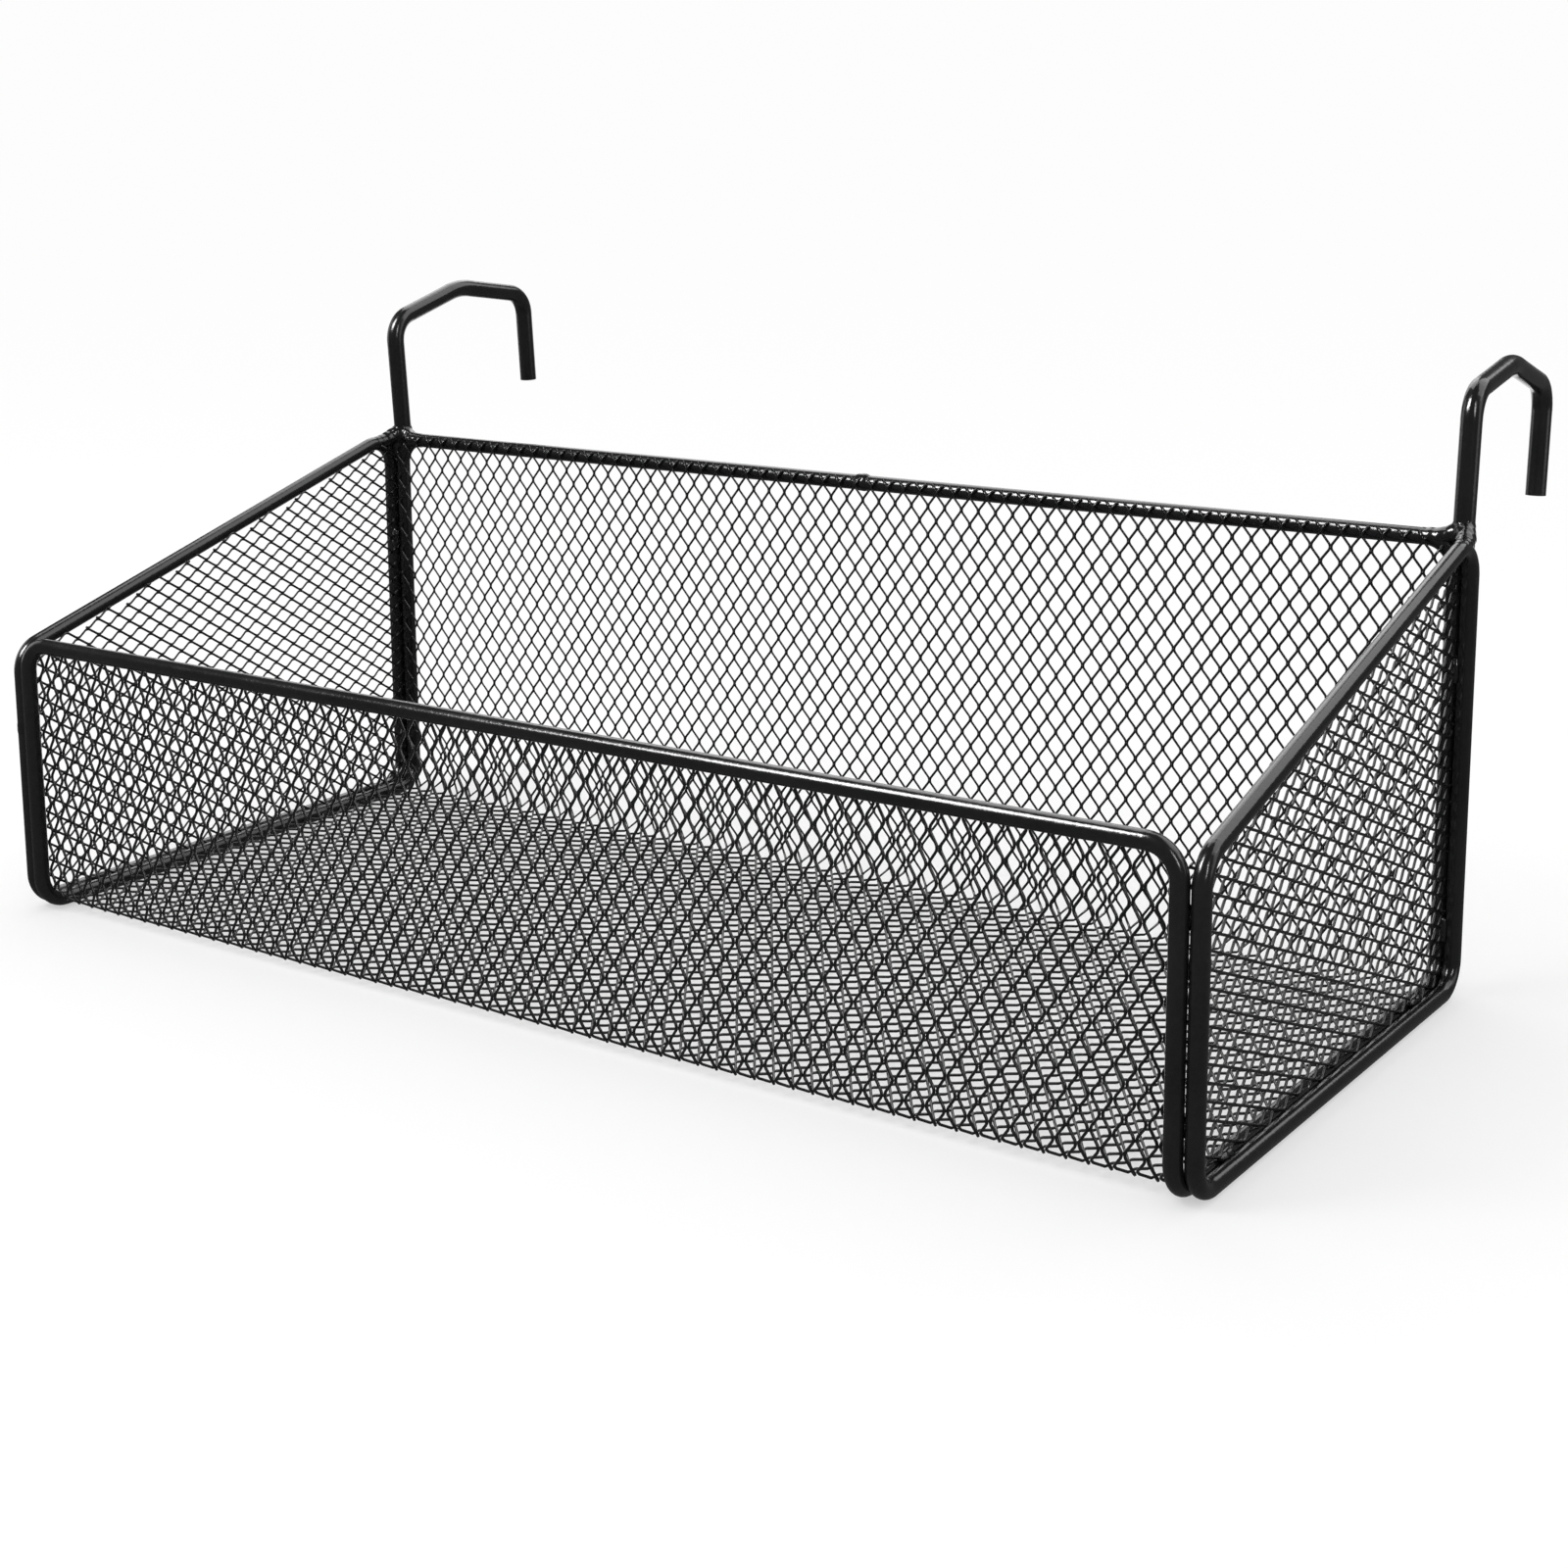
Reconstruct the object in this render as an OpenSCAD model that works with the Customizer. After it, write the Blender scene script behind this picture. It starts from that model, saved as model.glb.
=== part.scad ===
// Hanging file rack: an open-top basket of expanded-metal mesh in a welded
// round-wire frame, with two bent-wire hooks that hang over a partition.
// Millimetres. +Z up, +X to the right, +Y towards the hooks (the back).
// Origin: middle of the rack's footprint, on the surface it stands on.

/* [Basket] */
// Overall width of the rack, over the two side frames
rack_w = 335; // [260:1:420]
// Depth of the basket, over the front and back wires
basket_d = 146; // [110:1:200]
// Height of the front rail's top above the bottom
front_h = 73.5; // [55:0.5:90]
// Height of the back rail's top above the bottom
back_h = 110; // [100:0.5:160]

/* [Wire] */
// Diameter of the frame wire
wire_d = 4; // [3:0.1:5]
// Centre-line radius of the frame wire's bends
bend_r = 7.2; // [5:0.1:12]

/* [Hooks] */
// Diameter of the hook wire
hook_d = 5; // [4:0.1:6]
// Clear gap inside the hook, the thickest partition that fits
hook_gap = 54; // [30:0.5:80]
// Rise of the hook's two corners above the back rail's centre
hook_rise = 34; // [25:0.5:60]
// Rise of the hook's ridge above its corners
hook_ridge = 6.2; // [4:0.1:12]
// Length of the tail that hangs down behind the partition
hook_tail = 27; // [15:0.5:60]
// Centre-line radius of the hook's two corners
hook_r = 7.5; // [5:0.5:9]
// Centre-line radius of the hook's gentle bend at the ridge
hook_ridge_r = 22; // [8:1:40]
// Lean of the hand-welded hooks: the left one forwards, the right one back
hook_lean = 4; // [0:0.5:6]
// Turn of the right hook about its own leg
hook_toe = 2.6; // [0:0.1:4]
// How much higher than designed the left hook stands, and lower the right one
hook_uneven = 1; // [0:0.5:2]

/* [Mesh] */
// Thickness of the flattened mesh sheet
mesh_t = 0.8; // [0.6:0.1:1.5]
// Outside radius of the sheet's folds at the bottom
fold_r = 5; // [3:0.5:8]

/* [Hidden] */
$fn = 48;

wr = wire_d / 2;
hr = hook_d / 2;
pen = 0.1;                          // weld penetration into the wires

// Half width to the cage wire's centre and to the side frame's centre.
cage_x = rack_w / 2 - wire_d - wr;
side_x = rack_w / 2 - wr;
hook_x = cage_x + 1;

// Depths, measured first from the front wire's centre line.
cage_dy = basket_d - wire_d;                 // front wire centre to back wire centre
hook_dy = cage_dy + 1.5;                     // front wire centre to hook leg centre
hook_span = hook_gap + hook_d;               // leg centre to tail centre
hook_up = atan(hook_ridge / (hook_span / 2));  // slope of the hook's roof
function setback(turn, rb) = rb * tan(turn / 2);   // straight taken up by a bend
// The right hook's rear bend reaches furthest back.
hook_reach = cos(hook_lean) * cos(hook_toe) * (hook_span - hook_r)
  + sin(hook_lean) * (hook_rise - hook_uneven - setback(90 - hook_up, hook_r))
  + cos(hook_toe) * hook_r + hr;
foot_d = hook_dy + hook_reach + wr;          // whole footprint's depth
y0 = -foot_d / 2 + wr;                       // front wire centre
y1 = y0 + cage_dy;                           // back wire centre
hook_y = y0 + hook_dy;                       // hook leg centre

// Heights of the wire centre lines.
zb = wr;
zf = front_h - wr;
zk = back_h - wr;

// The side frame: its posts stand 1.1 mm inside the cage's front and back posts.
sy0 = y0 + 1.1;
sy1 = y1 - 1.1;
sz0 = zf - 2.8;                              // sloping rail, at the front post
sz1 = zk + 1.475;                            // sloping rail, at the back post
slope = (sz1 - sz0) / (sy1 - sy0);
function side_top(y) = sz0 + slope * (y - sy0);

// Where the two ends of the cage wire meet in the back rail, and those of a
// side frame in its front post.
weld_x = 1.5;
side_weld_z = zb + 0.7 * (sz0 - zb);

// Hook legs stand on the rounded corners of the cage.
hook_z0 = zk;

// ---- round wire, bent one run after another --------------------------------
// Each run is [length, roll, turn]: the wire goes straight for the length, is
// rolled about itself, and is then bent towards its own +X by the turn. A run's
// fourth number, if any, is its own bend radius instead of rb. With e above 0 each straight run is let into its bends by e, and the bends swell
// by a hair to take it.
module wire(runs, rb, r, e = 0, i = 0) {
  a = i > 0 ? e : 0;
  b = runs[i][2] > 0 ? e : 0;
  q = is_undef(runs[i][3]) ? rb : runs[i][3];
  translate([0, 0, -a]) cylinder(r = r, h = runs[i][0] + a + b);
  if (runs[i][2] > 0)
    translate([0, 0, runs[i][0]]) rotate([0, 0, runs[i][1]]) translate([q, 0, 0]) {
      multmatrix([[-1, 0, 0, 0], [0, 0, 1, 0], [0, 1, 0, 0], [0, 0, 0, 1]])
        rotate_extrude(angle = runs[i][2]) translate([q, 0]) circle(r = r + e / 15);
      rotate([0, runs[i][2], 0]) translate([-q, 0, 0]) wire(runs, rb, r, e, i + 1);
    }
}

// ---- the cage: one wire, closed by a butt weld in the back rail -------------
function cage_runs() = let(b = bend_r, post_k = zk - zb - 2 * b,
                           post_f = zf - zb - 2 * b, rail = cage_dy - 2 * b) [
  [cage_x - weld_x - b, 0, 90], [post_k, -90, 90], [rail, 0, 90], [post_f, 90, 90],
  [2 * cage_x - 2 * b, 0, 90], [post_f, -90, 90], [rail, 0, 90], [post_k, 90, 90],
  [cage_x + weld_x - b, 0, 0]];
module cage_wire(r) {
  translate([weld_x, y1, zk]) rotate([0, 90, 0]) wire(cage_runs(), bend_r, r);
}

// ---- a side frame: one flat loop whose top slopes up to the back ------------
side_run = sy1 - sy0;
side_rise = sz1 - sz0;
side_a = atan(side_rise / side_run);
function side_runs() = let(b = bend_r, k = setback(90 + side_a, b), f = setback(90 - side_a, b)) [
  [side_run / 2 - b, 0, 90], [sz1 - zb - b - k, 0, 90 + side_a],
  [side_run / cos(side_a) - k - f, 0, 90 - side_a], [sz0 - zb - f - b, 0, 90],
  [side_run / 2 - b, 0, 0]];
module side_wire(s, r) {
  translate([s * side_x, (sy0 + sy1) / 2, zb])
    multmatrix([[0, 1, 0, 0], [0, 0, 1, 0], [1, 0, 0, 0], [0, 0, 0, 1]])
      wire(side_runs(), bend_r, r);
}

// ---- a hook: up from the rail, over the partition and down behind it --------
function hook_runs(s) = let(c = setback(90 - hook_up, hook_r), p = setback(2 * hook_up, hook_ridge_r),
                            side = hook_span / 2 / cos(hook_up) - c - p) [
  [hook_rise - s * hook_uneven + zk - hook_z0 - c, 0, 90 - hook_up],
  [side, 0, 2 * hook_up, hook_ridge_r],
  [side, 0, 90 - hook_up], [hook_tail - c, 0, 0]];
// Stands its children, drawn on the leg's foot, where a hook is welded.
module at_hook(s) {
  translate([s * hook_x, hook_y, hook_z0])
    rotate([-s * hook_lean, 0, 0]) rotate([0, 0, s > 0 ? hook_toe : 0]) children();
}
module hook_wire(s, r) {
  at_hook(s) multmatrix([[0, -1, 0, 0], [1, 0, 0, 0], [0, 0, 1, 0], [0, 0, 0, 1]])
    wire(hook_runs(s), hook_r, r, 0.3);
}

// ---- wire pieces ----------------------------------------------------------
module cage_frame() { color([0.07, 0.07, 0.075]) cage_wire(wr); }
module side_frame(s) { color([0.09, 0.09, 0.095]) side_wire(s, wr); }
module hook(s) { color([0.06, 0.06, 0.065]) hook_wire(s, hr); }

// The collar where the two ends of a closed wire were butt welded, along +Z.
module butt_weld(proud) {
  color([0.12, 0.12, 0.12]) difference() {
    translate([0, 0, -0.7]) cylinder(r = wr + proud, h = 1.4);
    translate([0, 0, -2]) cylinder(r = wr - pen / 2, h = 4);
  }
}
module cage_butt_weld() { translate([weld_x, y1, zk]) rotate([0, 90, 0]) butt_weld(0.35); }
module side_butt_weld(s) { translate([s * side_x, sy0, side_weld_z]) butt_weld(0.15); }

// ---- mesh panels, as plain thin sheets ------------------------------------
// One sheet folded into front, bottom and back, lying inside the cage.
sheet_y0 = y0 + wr;                          // front panel's outer face
sheet_y1 = y1 - wr;                          // back panel's outer face
sheet_z = 1.2;                               // underside of the bottom panel
sheet_w = 2 * (cage_x - wr) - 0.2;           // between the bottom rails

// The outline of one leg of the U, with its fold rounded.
module fold(t, r) {
  difference() {
    circle(r = r);
    circle(r = r - t);
    translate([0, -2 * r]) square(4 * r);
    translate([-2 * r, 0]) square(4 * r);
  }
}
module u_profile() {
  t = mesh_t; r = fold_r;
  translate([sheet_y0 + r, sheet_z + r]) fold(t, r);
  translate([sheet_y1 - r, sheet_z + r]) mirror([1, 0]) fold(t, r);
  translate([sheet_y0 + r, sheet_z]) square([sheet_y1 - sheet_y0 - 2 * r, t]);
  translate([sheet_y0, sheet_z + r]) square([t, zf - sheet_z - r]);
  translate([sheet_y1 - t, sheet_z + r]) square([t, zk + 0.6 - sheet_z - r]);
}
module body_mesh() {
  ear = cage_x - sheet_w / 2;
  lo = zb + bend_r + wr;
  color([0.16, 0.16, 0.17]) {
    rotate([90, 0, 90]) translate([0, 0, -sheet_w / 2])
      linear_extrude(sheet_w) u_profile();
    // Narrow edges that lap the posts above the bottom bends.
    for (s = [-1, 1]) {
      translate([s > 0 ? sheet_w / 2 : -cage_x, sheet_y0, lo])
        cube([ear, mesh_t, zf - bend_r - lo]);
      translate([s > 0 ? sheet_w / 2 : -cage_x, sheet_y1 - mesh_t, lo])
        cube([ear, mesh_t, zk - bend_r - lo]);
    }
  }
}

// The flat end panel on the inner side of a side frame.
module side_mesh(s) {
  a = y0 + 3.6; b = y1 - 3.6;          // clear of the tack beads
  lo = zb + 3; c = bend_r - 3;
  color([0.16, 0.16, 0.17])
    translate([s > 0 ? side_x - wr - mesh_t : -side_x + wr, 0, 0])
      rotate([90, 0, 90]) linear_extrude(mesh_t)
        polygon([[a, lo + c], [a + c, lo], [b - c, lo], [b, lo + c],
                 [b, side_top(b) - 2.6], [b - 3, side_top(b - 3) - 0.4],
                 [a + 2, side_top(a + 2) - 0.2], [a, side_top(a) - 1]]);
}

// ---- welds ----------------------------------------------------------------
// The corner wires near a hook, a little thinner so that a bead fuses to them.
module corner_wires(s) {
  r = wr - pen; b = bend_r;
  // Cage: back post, bend and back rail.
  translate([s * cage_x, y1, zk - 30]) mirror([s > 0 ? 1 : 0, 0, 0])
    wire([[30 - b, 0, 90], [20, 0, 0]], b, r);
  // Side frame: back post, bend and sloping rail.
  translate([s * side_x, sy1, sz1 - 30])
    multmatrix([[0, 1, 0, 0], [-1, 0, 0, 0], [0, 0, 1, 0], [0, 0, 0, 1]])
      wire([[30 - setback(90 + side_a, b), 0, 90 + side_a], [20, 0, 0]], b, r);
}
module hook_weld(s) {
  color([0.11, 0.11, 0.11]) difference() {
    union() {
      at_hook(s) translate([0, 0, -2.6]) cylinder(r1 = 3.3, r2 = 2.8, h = 5);
      translate([s * (hook_x - 3.4), y1 + 0.4, zk + 0.2]) sphere(r = 2.3);
      translate([s * (side_x - 0.9), sy1 - 0.6, zk]) sphere(r = 2.3);
      translate([s * (side_x - 0.5), sy1 - 3.6, zk - 0.8]) sphere(r = 2);
    }
    corner_wires(s);
    at_hook(s) cylinder(r = hr - pen, h = 12);
  }
}

// Tack beads: short runs of weld in the inner groove between a side frame and
// the cage, sunk into both wires by the weld's penetration.
bead_r = 0.9;
bead_l = 5;
function groove(gap) = sqrt(pow(wr + bead_r - pen, 2) - pow(gap / 2, 2));
module post_tack(s, y, z) {
  translate([s * (cage_x + wr), y, z - bead_l / 2]) cylinder(r = bead_r, h = bead_l);
}
module rail_tack(s, y) {
  translate([s * (cage_x + wr), y - bead_l / 2, zb + groove(wire_d)])
    rotate([-90, 0, 0]) cylinder(r = bead_r, h = bead_l);
}
module tack_welds(s) {
  g = groove(norm([side_x - cage_x, sy0 - y0]));
  color([0.11, 0.11, 0.11]) {
    for (z = [zb + 14, zf - 14]) post_tack(s, (y0 + sy0) / 2 + g, z);
    for (z = [zb + 14, zk - 30]) post_tack(s, (y1 + sy1) / 2 - g, z);
    for (y = [y0 + 20, y1 - 20]) rail_tack(s, y);
  }
}

cage_frame();
cage_butt_weld();
side_frame(-1);  // side_frame_left
side_frame(1);  // side_frame_right
side_butt_weld(-1);  // side_butt_weld_left
side_butt_weld(1);  // side_butt_weld_right
body_mesh();
side_mesh(-1);  // side_mesh_left
side_mesh(1);  // side_mesh_right
hook(-1);  // hook_left
hook(1);  // hook_right
hook_weld(-1);  // hook_weld_left
hook_weld(1);  // hook_weld_right
tack_welds(-1);  // tack_welds_left
tack_welds(1);  // tack_welds_right
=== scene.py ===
import bpy, bmesh, math
import numpy as np
from mathutils import Matrix, Vector


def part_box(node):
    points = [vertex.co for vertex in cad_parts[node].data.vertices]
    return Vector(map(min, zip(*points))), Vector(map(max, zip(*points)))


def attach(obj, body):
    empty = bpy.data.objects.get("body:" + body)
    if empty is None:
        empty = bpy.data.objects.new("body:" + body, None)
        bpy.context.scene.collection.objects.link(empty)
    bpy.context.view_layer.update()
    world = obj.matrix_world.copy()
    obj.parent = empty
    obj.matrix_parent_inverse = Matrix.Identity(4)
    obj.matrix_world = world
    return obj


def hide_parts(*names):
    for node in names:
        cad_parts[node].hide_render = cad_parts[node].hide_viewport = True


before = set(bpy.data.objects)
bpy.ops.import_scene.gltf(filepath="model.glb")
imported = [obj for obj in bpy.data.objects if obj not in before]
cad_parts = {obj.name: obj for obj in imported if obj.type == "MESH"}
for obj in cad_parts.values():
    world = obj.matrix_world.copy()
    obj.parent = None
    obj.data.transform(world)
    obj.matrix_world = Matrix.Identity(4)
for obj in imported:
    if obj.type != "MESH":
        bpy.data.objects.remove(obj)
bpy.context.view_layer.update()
MM = 0.001


# ---------------------------------------------------------------- dimensions
def lo(n):
    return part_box(n)[0]


def hi(n):
    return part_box(n)[1]


WR = 0.002                                   # frame wire radius
HR = 0.0025                                  # hook wire radius
BR = 0.0072                                  # frame wire bend radius
CX = hi("cage_frame").x - WR                 # cage wire centre
SX = hi("side_frame_right").x - WR           # side frame centre
Y0 = lo("cage_frame").y + WR                 # front wire centre
Y1 = hi("cage_frame").y - WR                 # back wire centre
ZB = lo("cage_frame").z + WR                 # bottom wires
ZK = hi("cage_frame").z - WR                 # back rail
ZF = ZK - 0.0365                             # front rail
SY0, SY1 = lo("side_frame_right").y + WR, hi("side_frame_right").y - WR
SZ0, SZ1 = ZF - 0.0028, ZK + 0.001475        # sloping rail at the posts
HX = CX + 0.001
HY = Y1 + 0.0015                             # hook leg, at its foot
HZ0 = ZK                                     # foot of the leg
SLOPE = (SZ1 - SZ0) / (SY1 - SY0)


# ---------------------------------------------------------------- helpers
def mesh_object(name, verts, faces, smooth=True, mat=None):
    me = bpy.data.meshes.new(name)
    verts = np.asarray(verts, np.float32)
    if isinstance(faces, np.ndarray):
        n, k = faces.shape
        me.vertices.add(len(verts))
        me.vertices.foreach_set("co", verts.ravel())
        me.loops.add(n * k)
        me.loops.foreach_set("vertex_index", faces.astype(np.int32).ravel())
        me.polygons.add(n)
        me.polygons.foreach_set("loop_start", np.arange(0, n * k, k, dtype=np.int32))
        me.polygons.foreach_set("loop_total", np.full(n, k, np.int32))
        me.update(calc_edges=True)
    else:
        me.from_pydata([tuple(map(float, v)) for v in verts], [], faces)
    me.validate()
    if smooth:
        me.polygons.foreach_set("use_smooth", np.ones(len(me.polygons), bool))
    ob = bpy.data.objects.new(name, me)
    bpy.context.scene.collection.objects.link(ob)
    if mat is not None:
        me.materials.append(mat)
    return ob


def noise1(x, seed, n=5, base=1.0):
    """A smooth, seeded wander of about -1 to 1."""
    r = np.random.RandomState(seed)
    out = np.zeros_like(np.asarray(x, float))
    tot = 0.0
    for k in range(n):
        f = base * (1.7 ** k) * (0.8 + 0.4 * r.rand())
        a = 0.75 ** k
        out += a * np.sin(2 * np.pi * (f * np.asarray(x, float) + r.rand()))
        tot += a
    return out / tot


# ---------------------------------------------------------------- materials
def powder(name, colour, rough, peel=0.05, wear=0.0, seed=0.0, scale=1.0):
    """Gloss black powder coat: a faint orange peel, uneven gloss and dust-grey drift."""
    m = bpy.data.materials.new(name)
    m.use_nodes = True
    nt = m.node_tree
    p = nt.nodes["Principled BSDF"]
    geo = nt.nodes.new("ShaderNodeTexCoord")
    mp = nt.nodes.new("ShaderNodeMapping")
    mp.inputs["Location"].default_value = (seed, seed * 0.7, seed * 1.3)
    nt.links.new(geo.outputs["Object"], mp.inputs["Vector"])

    def noise(sc, detail, roughn=0.5):
        n = nt.nodes.new("ShaderNodeTexNoise")
        n.inputs["Scale"].default_value = sc
        n.inputs["Detail"].default_value = detail
        n.inputs["Roughness"].default_value = roughn
        nt.links.new(mp.outputs["Vector"], n.inputs["Vector"])
        return n

    def ramp(src, a, b, va, vb):
        r = nt.nodes.new("ShaderNodeMapRange")
        r.inputs["From Min"].default_value = a
        r.inputs["From Max"].default_value = b
        r.inputs["To Min"].default_value = va
        r.inputs["To Max"].default_value = vb
        nt.links.new(src, r.inputs["Value"])
        return r.outputs["Result"]

    # Colour: near black with a slow drift and fine mottling.
    slow = noise(35 * scale, 3)
    fine = noise(900 * scale, 4, 0.6)
    mix = nt.nodes.new("ShaderNodeMix")
    mix.data_type = "RGBA"
    mix.inputs["A"].default_value = (*[c * 0.75 for c in colour], 1)
    mix.inputs["B"].default_value = (*[c * 1.35 + 0.002 for c in colour], 1)
    add = nt.nodes.new("ShaderNodeMath")
    add.operation = "ADD"
    nt.links.new(ramp(slow.outputs["Fac"], 0.35, 0.65, 0, 0.6), add.inputs[0])
    nt.links.new(ramp(fine.outputs["Fac"], 0.4, 0.7, 0, 0.4), add.inputs[1])
    nt.links.new(add.outputs[0], mix.inputs["Factor"])
    nt.links.new(mix.outputs["Result"], p.inputs["Base Color"])
    # Gloss: uneven, a little duller in patches.
    nt.links.new(ramp(noise(120 * scale, 4).outputs["Fac"], 0.3, 0.7, rough * 0.85, rough * 1.25),
                 p.inputs["Roughness"])
    # Orange peel, about 1 mm across, over a finer grain.
    b1 = nt.nodes.new("ShaderNodeBump")
    b1.inputs["Strength"].default_value = peel
    b1.inputs["Distance"].default_value = 0.0004
    nt.links.new(noise(1100 * scale, 2, 0.45).outputs["Fac"], b1.inputs["Height"])
    b2 = nt.nodes.new("ShaderNodeBump")
    b2.inputs["Strength"].default_value = peel * 0.6
    b2.inputs["Distance"].default_value = 0.0001
    nt.links.new(noise(5200 * scale, 2, 0.5).outputs["Fac"], b2.inputs["Height"])
    nt.links.new(b1.outputs["Normal"], b2.inputs["Normal"])
    nt.links.new(b2.outputs["Normal"], p.inputs["Normal"])
    p.inputs["Metallic"].default_value = 0.0
    p.inputs["IOR"].default_value = 1.5
    p.inputs["Specular IOR Level"].default_value = 0.5
    p.inputs["Coat Weight"].default_value = 0.3
    p.inputs["Coat Roughness"].default_value = 0.12
    return m


MAT_WIRE = powder("wire_powder", (0.0060, 0.0060, 0.0067), 0.19, peel=0.12, seed=1.0)
MAT_HOOK = powder("hook_powder", (0.0060, 0.0060, 0.0067), 0.19, peel=0.12, seed=5.0)
MAT_MESH = powder("mesh_powder", (0.0055, 0.0055, 0.0062), 0.22, peel=0.08, seed=9.0)
MAT_WELD = powder("weld_powder", (0.0065, 0.0065, 0.0072), 0.16, peel=0.12, seed=13.0)

for n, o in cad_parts.items():
    mat = (MAT_HOOK if n.startswith("hook_l") or n.startswith("hook_r") else
           MAT_WELD if "weld" in n else MAT_MESH if "mesh" in n else MAT_WIRE)
    o.data.materials.clear()
    o.data.materials.append(mat)


# ---------------------------------------------------------------- mesh lattice
# Expanded metal: each strand is a strip that zigzags between its neighbours and is
# tilted out of the sheet; where two strips bond they lie edge to edge on the tilt.
STRAND_W = 0.00070       # strip's width
STRAND_T = 0.00050       # strip's thickness
TILT = math.radians(40)
SIDES = 6


def strand_path(k, p, q, v0, v1, phase, bond, seed, kappa):
    """Centre line of strand k in the flat sheet: u is across, v along, n out of it.
    Strands k and k+1 bond where (v - phase) / q is whole for an even k."""
    h = q / 2
    A = p / 4 - STRAND_W / 2 * math.cos(TILT)
    j0 = int(math.floor((v0 - phase) / h)) - 1
    j1 = int(math.ceil((v1 - phase) / h)) + 1
    us, vs = [], []
    r = np.random.RandomState(seed * 7919 + k + 500)
    b, c = bond / 2, 0.00034
    for j in range(j0, j1 + 1):
        side = 1 if (j + k) % 2 == 0 else -1
        jit = (r.rand(2) - 0.5) * 0.00010
        vc = phase + j * h + jit[1]
        slant = A * 2 / (h - bond)
        for dv, du in ((-b - c, c * slant * 0.85), (-b, c * slant * 0.28), (-b + c, 0.0),
                       (b - c, 0.0), (b, c * slant * 0.28), (b + c, c * slant * 0.85)):
            vs.append(vc + dv)
            us.append(side * (A - du))
    us, vs = np.array(us), np.array(vs)
    keep = (vs > v0 + 1e-5) & (vs < v1 - 1e-5)
    ua = np.interp([v0, v1], vs, us)
    us = np.concatenate([[ua[0]], us[keep], [ua[1]]])
    vs = np.concatenate([[v0], vs[keep], [v1]])
    ns = -kappa * STRAND_W / 2 * math.sin(TILT) * us / A
    return np.stack([us + k * p / 2, vs, ns], 1)


def ribbon(path, kappa, taper=0.0):
    """Rounded strip round a path: (ring, side, 3) in flat u, v, n coordinates."""
    d = np.gradient(path, axis=0)
    d /= np.linalg.norm(d, axis=1)[:, None] + 1e-12
    w0 = np.array([math.cos(TILT), 0, kappa * math.sin(TILT)])
    W = w0[None] - (d @ w0)[:, None] * d
    W /= np.linalg.norm(W, axis=1)[:, None]
    T = np.cross(d, W)
    a = (np.arange(SIDES) + 0.5) / SIDES * 2 * np.pi
    if SIDES == 6:                       # a flat strip with bevelled edges
        cs = np.array([0.5, 0.30, -0.30, -0.5, -0.30, 0.30]) * STRAND_W
        sn = np.array([0.0, 0.5, 0.5, 0.0, -0.5, -0.5]) * STRAND_T
    else:
        cs = np.sign(np.cos(a)) * np.abs(np.cos(a)) ** 0.7 * STRAND_W / 2
        sn = np.sign(np.sin(a)) * np.abs(np.sin(a)) ** 0.7 * STRAND_T / 2
    return path[:, None] + W[:, None] * cs[None, :, None] + T[:, None] * sn[None, :, None]


def lattice(name, strands, kappa, bend, mat, node):
    """strands: list of flat paths. bend maps flat (N,3) to metres (N,3)."""
    V, F = [], []
    base = 0
    for path in strands:
        ring = ribbon(path, kappa)
        n, s = ring.shape[:2]
        V.append(ring.reshape(-1, 3))
        i = np.arange(n - 1)[:, None] * s
        j = np.arange(s)[None]
        jn = (j + 1) % s
        F.append(np.stack([i + j, i + s + j, i + s + jn, i + jn], -1).reshape(-1, 4) + base)
        for e, c in ((0, np.arange(s)), (1, np.arange(s)[::-1] + (n - 1) * s)):
            F.append(np.array([[c[0], c[1], c[2], c[3]], [c[0], c[3], c[4], c[5]]]) + base)
        base += n * s
    V = bend(np.concatenate(V))
    F = np.concatenate(F)
    ob = mesh_object(name, V, F, True, mat)
    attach(ob, "root")
    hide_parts(node)
    return ob


def runs(path, ok, least=3):
    """The unbroken stretches of a path where ok holds."""
    i = np.where(ok)[0]
    if len(i) == 0:
        return []
    return [path[c] for c in np.split(i, np.where(np.diff(i) > 1)[0] + 1) if len(c) > least]


# The body sheet: one folded sheet, front, bottom and back, that laps over the
# inner side of the front and back rails.
P, Q = 0.0049798, 0.0072802
SHEET_N = 0.00052                             # middle of the strands inside the wires
YF = Y0 + WR + SHEET_N                        # front panel's plane
YK = Y1 - WR - SHEET_N                        # back panel's plane
ZL = 0.0022                                   # bottom panel's plane
FR = 0.0035                                   # fold radius
LAP_F, LAP_K = 0.0010, 0.0017                 # arc that laps over each rail
L1 = ZF + LAP_F - ZL - FR
LF = FR * math.pi / 2
L2 = YK - YF - 2 * FR
L3 = ZK + LAP_K - ZL - FR
TOTAL = L1 + LF + L2 + LF + L3                # along the fold direction


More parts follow.
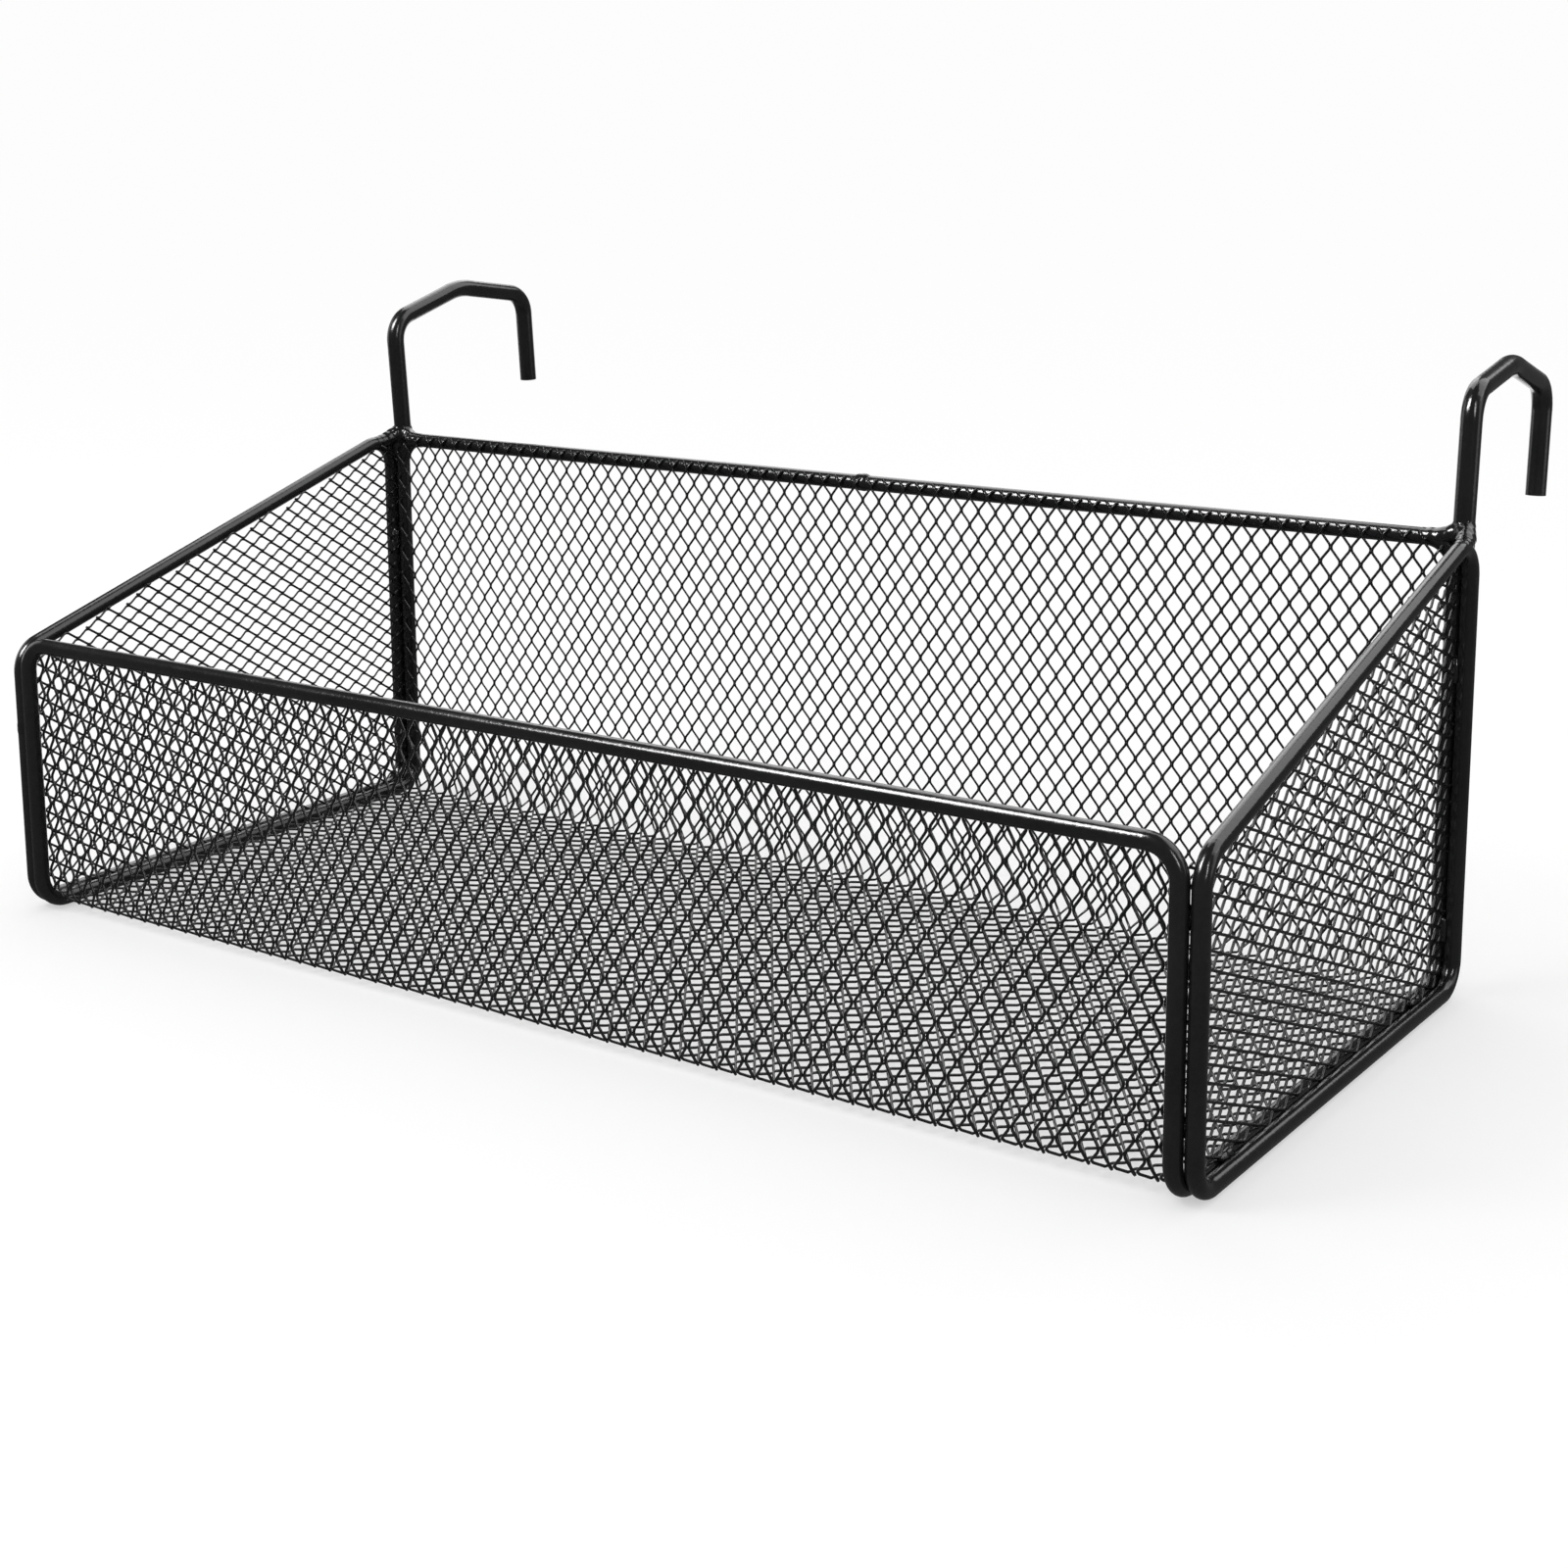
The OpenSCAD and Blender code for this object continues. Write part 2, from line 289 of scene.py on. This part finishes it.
def body_bend(c):
    """Flat (u, v, n) to metres. v runs from the front's cut edge, down, back, up."""
    u, v, n = c[:, 0], c[:, 1], c[:, 2]
    x = u.copy()
    y = np.zeros_like(v)
    z = np.zeros_like(v)
    R = WR + SHEET_N
    a = v < LAP_F                              # lapping over the front rail
    t = (LAP_F - v[a]) / R
    y[a] = Y0 + (R + n[a]) * np.cos(t)
    z[a] = ZF + (R + n[a]) * np.sin(t)
    a = (v >= LAP_F) & (v < L1)
    y[a] = YF + n[a]
    z[a] = ZF + LAP_F - v[a]
    b = (v >= L1) & (v < L1 + LF)
    t = (v[b] - L1) / FR
    y[b] = YF + FR - (FR - n[b]) * np.cos(t)
    z[b] = ZL + FR - (FR - n[b]) * np.sin(t)
    m = (v >= L1 + LF) & (v < L1 + LF + L2)
    y[m] = YF + FR + (v[m] - L1 - LF)
    z[m] = ZL + n[m]
    s0 = L1 + LF + L2
    d = (v >= s0) & (v < s0 + LF)
    t = (v[d] - s0) / FR
    y[d] = YK - FR + (FR - n[d]) * np.sin(t)
    z[d] = ZL + FR - (FR - n[d]) * np.cos(t)
    e = (v >= s0 + LF) & (v < TOTAL - LAP_K)
    y[e] = YK - n[e]
    z[e] = ZL + FR + (v[e] - s0 - LF)
    g = v >= TOTAL - LAP_K                     # lapping over the back rail
    t = (v[g] - (TOTAL - LAP_K)) / R
    y[g] = Y1 - (R + n[g]) * np.cos(t)
    z[g] = ZK + (R + n[g]) * np.sin(t)
    # the slight waviness of a thin sheet that is held only at its edges
    X = x / 0.32
    edge = np.clip(1 - (np.abs(x) / CX) ** 6, 0, 1)
    wf = 0.00040 * noise1(X * 1.0 + z * 3, 11, 3)
    wk = 0.00040 * noise1(X * 1.3 - z * 4, 12, 3)
    wb = 0.00030 * noise1(X * 1.1 + y * 3, 13, 3) - 0.00050 * edge
    front, back = v < L1 + 0.5 * LF, v > s0 + 0.5 * LF
    free_f = np.clip((ZF - z) / 0.012, 0, 1) * np.clip((z - ZL) / 0.006, 0, 1)
    free_k = np.clip((ZK - z) / 0.012, 0, 1) * np.clip((z - ZL) / 0.006, 0, 1)
    y = y + np.where(front, wf * free_f * edge, 0) - np.where(back, wk * free_k * edge, 0)
    fall = np.where(front | back, np.clip(1 - (z - ZL) / 0.02, 0, 1), 1.0)
    z = z + wb * fall
    return np.stack([x, y, z], 1)


# Phases: a node column and a node row of the back panel.
X_NODE, Z_NODE = -0.0543407, 0.1001496
LEAN = -0.0381 / 3.6401                       # the strands lean a little off square
v_node = TOTAL - LAP_K - (ZK - Z_NODE)
nk = int(CX / (P / 2)) + 4
strands = []
for k in range(-nk * 2, nk * 2):
    path = strand_path(k, P, Q, 0.0, TOTAL, v_node, 0.0008, 3, 1)
    path[:, 0] += X_NODE - P / 4 + LEAN * (path[:, 1] - v_node)
    dx, v = np.abs(path[:, 0]) - (CX - BR), path[:, 1]
    ok = dx < BR + 0.0003
    for dz in (BR + LAP_F - v, BR + LAP_K - (TOTAL - v)):   # the rails' rounded corners
        ok &= ~((dx > 0) & (dz > 0) & (np.hypot(dx, dz) > BR + 0.0006))
    strands += runs(path, ok)
strands.sort(key=lambda s: float(s[:, 0].mean()))
for i in range(8):
    part = strands[i * len(strands) // 8:(i + 1) * len(strands) // 8]
    lattice(f"body_mesh_{'abcdefgh'[i]}", part, 1, body_bend, MAT_MESH, "body_mesh")

# Side panels: the strands run along the depth. Both are cut from the sheet the same
# way round, so their strands tilt towards the same side.
# Each end's lattice has its own cell, angle and place: pitch up, pitch along, the angle
# of the strands' run, the angle of the rows across it, and one node.
SIDE_CELLS = {"left": (0.0043654, 0.0070347, -0.032195, 0.0, Y0 + 0.1160323, 0.092484),
              "right": (0.0040510, 0.0077600, 0.093375, 0.134827, Y0 + 0.103376, 0.00396)}
for s, name in ((-1, "left"), (1, "right")):
    xs = s * (SX - WR - SHEET_N)
    kap = -s
    P2, Q2, run, row, y_node, z_node = SIDE_CELLS[name]
    strands = []
    for k in range(-90, 90):
        path = strand_path(k, P2, Q2, -0.20, 0.20, 0.0, 0.0008, 40 + s, kap)
        u, v = path[:, 0] - P2 / 4, path[:, 1].copy()
        path[:, 1] = y_node + v * math.cos(run) - u * math.sin(row)
        path[:, 0] = z_node + v * math.sin(run) + u * math.cos(row)
        v, z = path[:, 1], path[:, 0]
        ok = (v > Y0 + 0.0004) & (v < Y1 - 0.0004) & (z > ZB + 0.0004) & (z < SZ0 + SLOPE * (v - SY0) - 0.0006)
        # the corners follow the wire's bends
        for cy, cz in ((SY0 + BR, ZB + BR), (SY1 - BR, ZB + BR), (SY0 + BR * 0.8, SZ0 - BR * 0.8), (SY1 - BR, SZ1 - 0.0096)):
            out = ((v - cy) * (1 if cy > 0 else -1) > 0) & ((z - cz) * (1 if cz > 0.03 else -1) > 0)
            ok &= ~(out & (np.hypot(v - cy, z - cz) > BR + 0.0008))
        strands += runs(path, ok)

    def side_bend(c, xs=xs, s=s):
        z, y, n = c[:, 0], c[:, 1], c[:, 2]
        w = 0.0003 * noise1(y * 9 + z * 5, 31 + s, 3)
        e = np.clip((y - Y0) / 0.02, 0, 1) * np.clip((Y1 - y) / 0.02, 0, 1) * np.clip((z - ZB) / 0.02, 0, 1)
        return np.stack([xs - s * (n + np.abs(w) * e), y, z], 1)

    lattice(f"side_mesh_{name}_strands", strands, kap, side_bend, MAT_MESH, f"side_mesh_{name}")


# ---------------------------------------------------------------- welds
def weld(name, balls, node, voxel=0.00022, lump=0.00012, seed=0, smooth=4):
    """Weld metal: overlapping drops melted into one smooth, slightly lumpy bead."""
    bm = bmesh.new()
    for c, r in balls:
        bmesh.ops.create_icosphere(bm, subdivisions=3, radius=r, matrix=Matrix.Translation(c))
    me = bpy.data.meshes.new(name + "_raw")
    bm.to_mesh(me)
    bm.free()
    raw = bpy.data.objects.new(name + "_raw", me)
    bpy.context.scene.collection.objects.link(raw)
    m = raw.modifiers.new("remesh", "REMESH")
    m.mode = "VOXEL"
    m.voxel_size = voxel
    dg = bpy.context.evaluated_depsgraph_get()
    got = bpy.data.meshes.new_from_object(raw.evaluated_get(dg))
    bpy.data.objects.remove(raw)
    co = np.empty(len(got.vertices) * 3, np.float32)
    got.vertices.foreach_get("co", co)
    co = co.reshape(-1, 3).astype(float)
    e = np.empty(len(got.edges) * 2, np.int32)
    got.edges.foreach_get("vertices", e)
    e = e.reshape(-1, 2)
    deg = np.bincount(e.ravel(), minlength=len(co))[:, None]
    for i in range(smooth * 2):
        acc = np.zeros_like(co)
        np.add.at(acc, e[:, 0], co[e[:, 1]])
        np.add.at(acc, e[:, 1], co[e[:, 0]])
        co += (0.5 if i % 2 == 0 else -0.35) * (acc / np.maximum(deg, 1) - co)
    got.vertices.foreach_set("co", co.astype(np.float32).ravel())
    got.update()
    nr = np.empty(len(co) * 3, np.float32)
    got.vertices.foreach_get("normal", nr)
    nr = nr.reshape(-1, 3)
    f = 2 * np.pi / 0.0022
    w = (np.sin(co[:, 0] * f + seed) + np.sin(co[:, 1] * f * 1.2 + 2 * seed + 1) + np.sin(co[:, 2] * f * 0.9 + 3 * seed)) / 3
    co += nr * (lump * w)[:, None]
    got.vertices.foreach_set("co", co.astype(np.float32).ravel())
    got.update()
    got.polygons.foreach_set("use_smooth", np.ones(len(got.polygons), bool))
    got.materials.clear()
    got.materials.append(MAT_WELD)
    ob = bpy.data.objects.new(name, got)
    bpy.context.scene.collection.objects.link(ob)
    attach(ob, "root")
    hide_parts(node)
    return ob


def string(points, n=7):
    """Drops along a broken line of (x, y, z, radius) points, in metres."""
    out = []
    for p, q in zip(points[:-1], points[1:]):
        for i in range(n):
            t = i / n
            out.append((Vector([p[j] * (1 - t) + q[j] * t for j in range(3)]), p[3] * (1 - t) + q[3] * t))
    out.append((Vector(points[-1][:3]), points[-1][3]))
    return out


M = 0.001
for s, name in ((-1, "left"), (1, "right")):
    hx, hy, z0 = s * HX, HY, ZK
    lean = 0.0699 if s > 0 else -0.0699            # dy per dz of the leg
    drops = string([(hx, hy - 2 * lean * M, z0 - 1.6 * M, 2.75 * M), (hx, hy, z0 + 0.2 * M, 3.0 * M),
                    (hx, hy + 2.4 * lean * M, z0 + 2.4 * M, 2.72 * M), (hx, hy + 4.0 * lean * M, z0 + 4.0 * M, 2.52 * M)])
    # to the back rail
    drops += string([(hx - s * 0.6 * M, hy - 0.3 * M, z0 + 1.6 * M, 2.5 * M), (hx - s * 2.6 * M, hy - 0.6 * M, z0 + 0.6 * M, 2.35 * M),
                     (hx - s * 4.6 * M, Y1 + 0.1 * M, z0 + 0.05 * M, 2.25 * M), (s * (CX - BR) - s * 0.5 * M, Y1, ZK + 0.02 * M, 2.06 * M)])
    # to the side frame's sloping rail
    drops += string([(hx + s * 0.4 * M, hy - 0.4 * M, z0 + 2.2 * M, 2.5 * M), (s * (SX - 1.3 * M), SY1 - 0.3 * M, z0 + 0.7 * M, 2.35 * M),
                     (s * (SX - 0.6 * M), SY1 - 3.2 * M, z0 - 0.4 * M, 2.2 * M), (s * (SX - 0.1 * M), SY1 - 6.2 * M, SZ1 - 2.35 * M, 2.06 * M)])
    # down between the two corners
    drops += string([(hx + s * 1.0 * M, hy - 1.2 * M, z0 - 0.5 * M, 2.2 * M), (s * (CX + 2 * M), (Y1 + SY1) / 2, z0 - 4.5 * M, 1.7 * M)])
    weld(f"hook_weld_{name}_fillet", drops, f"hook_weld_{name}", seed=3 + s)

    # Tack beads in the grooves between a side frame and the cage.
    g = math.sqrt(max((WR + 0.8 * M) ** 2 - (math.hypot(SX - CX, SY0 - Y0) / 2) ** 2, 0))
    tacks = []
    for z in (ZB + 14 * M, ZF - 14 * M):
        tacks += string([(s * (CX + WR), (Y0 + SY0) / 2 + g, z + dz * M, r * M) for dz, r in ((-2.4, 0.7), (-1.2, 1.0), (0, 0.9), (1.3, 1.02), (2.4, 0.7))], 3)
    for z in (ZB + 14 * M, ZK - 30 * M):
        tacks += string([(s * (CX + WR), (Y1 + SY1) / 2 - g, z + dz * M, r * M) for dz, r in ((-2.4, 0.7), (-1.1, 1.02), (0.2, 0.9), (1.3, 1.0), (2.4, 0.7))], 3)
    g = math.sqrt((WR + 0.8 * M) ** 2 - WR ** 2)
    for y in (Y0 + 20 * M, Y1 - 20 * M):
        tacks += string([(s * (CX + WR), y + dy * M, ZB + g, r * M) for dy, r in ((-2.4, 0.7), (-1.2, 0.98), (0.1, 0.88), (1.2, 1.0), (2.4, 0.7))], 3)
    weld(f"tack_welds_{name}_beads", tacks, f"tack_welds_{name}", voxel=0.00016, lump=0.00006, seed=7 + s, smooth=2)

    # Where a side frame's two ends meet, in its front post.
    c = (lo(f"side_butt_weld_{name}") + hi(f"side_butt_weld_{name}")) / 2
    weld(f"side_butt_weld_{name}_bead", string([(c.x, c.y, c.z - 1.5 * M, 2.0 * M), (c.x, c.y, c.z - 0.5 * M, 2.13 * M),
                                                (c.x, c.y, c.z + 0.6 * M, 2.12 * M), (c.x, c.y, c.z + 1.5 * M, 2.0 * M)], 5),
         f"side_butt_weld_{name}", lump=0.00005, seed=11 + s)

c = (lo("cage_butt_weld") + hi("cage_butt_weld")) / 2
weld("cage_butt_weld_bead", string([(c.x - 1.9 * M, c.y, c.z, 2.0 * M), (c.x - 0.7 * M, c.y - 0.05 * M, c.z + 0.1 * M, 2.3 * M),
                                    (c.x + 0.5 * M, c.y, c.z + 0.12 * M, 2.32 * M), (c.x + 1.8 * M, c.y, c.z, 2.0 * M)], 5),
     "cage_butt_weld", lump=0.00009, seed=21)


# ---------------------------------------------------------------- floor, light, camera
def softbox(name, loc, target, w, h, radiance, floor_too=False):
    """A rectangular light of the given radiance, seen in reflections but not itself in
    the picture. Only floor_too ones light the floor and the paint's own colour."""
    l = bpy.data.lights.new(name, "AREA")
    l.shape = "RECTANGLE"
    l.size, l.size_y = w, h
    l.energy = radiance * math.pi * w * h
    o = bpy.data.objects.new(name, l)
    o.location = loc
    o.rotation_euler = (Vector(target) - Vector(loc)).to_track_quat("-Z", "Y").to_euler()
    o.visible_camera = False
    o.visible_diffuse = floor_too
    bpy.context.scene.collection.objects.link(o)
    return o


floor = mesh_object("floor", [(-9, -9, -0.0002), (9, -9, -0.0002), (9, 9, -0.0002), (-9, 9, -0.0002)],
                    [[0, 1, 2, 3]], False)
fm = bpy.data.materials.new("floor_pale")
fm.use_nodes = True
fp = fm.node_tree.nodes["Principled BSDF"]
fp.inputs["Base Color"].default_value = (0.50, 0.50, 0.50, 1)
fp.inputs["Emission Color"].default_value = (1, 1, 1, 1)
fp.inputs["Emission Strength"].default_value = 0.49     # a lit table, so that shadows stay soft
fp.inputs["Roughness"].default_value = 0.9
fp.inputs["Specular IOR Level"].default_value = 0.0
floor.data.materials.append(fm)
floor.visible_glossy = False

world = bpy.data.worlds.new("studio")
bpy.context.scene.world = world
world.use_nodes = True
wn = world.node_tree
bg = wn.nodes["Background"]
bg.inputs["Color"].default_value = (1, 1, 1, 1)
lp = wn.nodes.new("ShaderNodeLightPath")
wm = wn.nodes.new("ShaderNodeMapRange")
wm.inputs["To Min"].default_value = 0.98
wm.inputs["To Max"].default_value = 0.10
wn.links.new(lp.outputs["Is Glossy Ray"], wm.inputs["Value"])
wn.links.new(wm.outputs["Result"], bg.inputs["Strength"])
softbox("key", (-0.42, -0.64, 0.86), (0.08, -0.1, 0.07), 0.32, 0.22, 9, True)
softbox("key_strip", (-0.44, -0.66, 0.88), (0.08, -0.1, 0.07), 0.30, 0.60, 24)
softbox("fill_strip", (1.10, -0.75, 0.75), (0.1, 0.0, 0.08), 0.10, 0.70, 18)
softbox("over", (0.9, 1.0, 1.6), (0, 0, 0.08), 2.4, 1.6, 1.7)
softbox("over_left", (-0.8, 1.0, 1.6), (-0.1, 0, 0.1), 1.0, 1.6, 2.2)
softbox("back_left", (-1.0, 1.25, 0.65), (0, 0, 0.1), 1.2, 0.8, 1.2)
softbox("back_low", (-0.8, 1.40, -0.32), (0, 0, 0.08), 1.9, 0.9, 1.1)
softbox("left", (-1.7, -0.1, 0.45), (0, 0, 0.08), 0.9, 1.2, 0.9)
softbox("right", (1.6, 0.5, 0.5), (0, 0, 0.08), 0.8, 1.2, 0.8)
bpy.context.scene.view_settings.view_transform = "Standard"

CAM = {"f": 2573.292823, "loc": (0.353902, Y0 - 0.411246, 0.208234),
       "yaw": 0.599251, "pitch": 0.193309, "roll": -0.005782, "pp": (800, 600)}
cd = bpy.data.cameras.new("camera")
cam = bpy.data.objects.new("camera", cd)
bpy.context.scene.collection.objects.link(cam)
cy, sy = math.cos(CAM["yaw"]), math.sin(CAM["yaw"])
cp, sp = math.cos(CAM["pitch"]), math.sin(CAM["pitch"])
fwd = Vector((-sy * cp, cy * cp, -sp))
right = Vector((cy, sy, 0))
up = right.cross(fwd)
cr, sr = math.cos(CAM["roll"]), math.sin(CAM["roll"])
r2 = cr * right + sr * up
u2 = -sr * right + cr * up
cam.matrix_world = Matrix(((r2.x, u2.x, -fwd.x, CAM["loc"][0]), (r2.y, u2.y, -fwd.y, CAM["loc"][1]),
                           (r2.z, u2.z, -fwd.z, CAM["loc"][2]), (0, 0, 0, 1)))
cd.sensor_width = 36
cd.lens = CAM["f"] / 1600 * 36
cd.shift_x = (800 - CAM["pp"][0]) / 1600
cd.shift_y = -(800 - CAM["pp"][1]) / 1600
cd.clip_start = 0.01
cd.dof.use_dof = False
bpy.context.scene.camera = cam
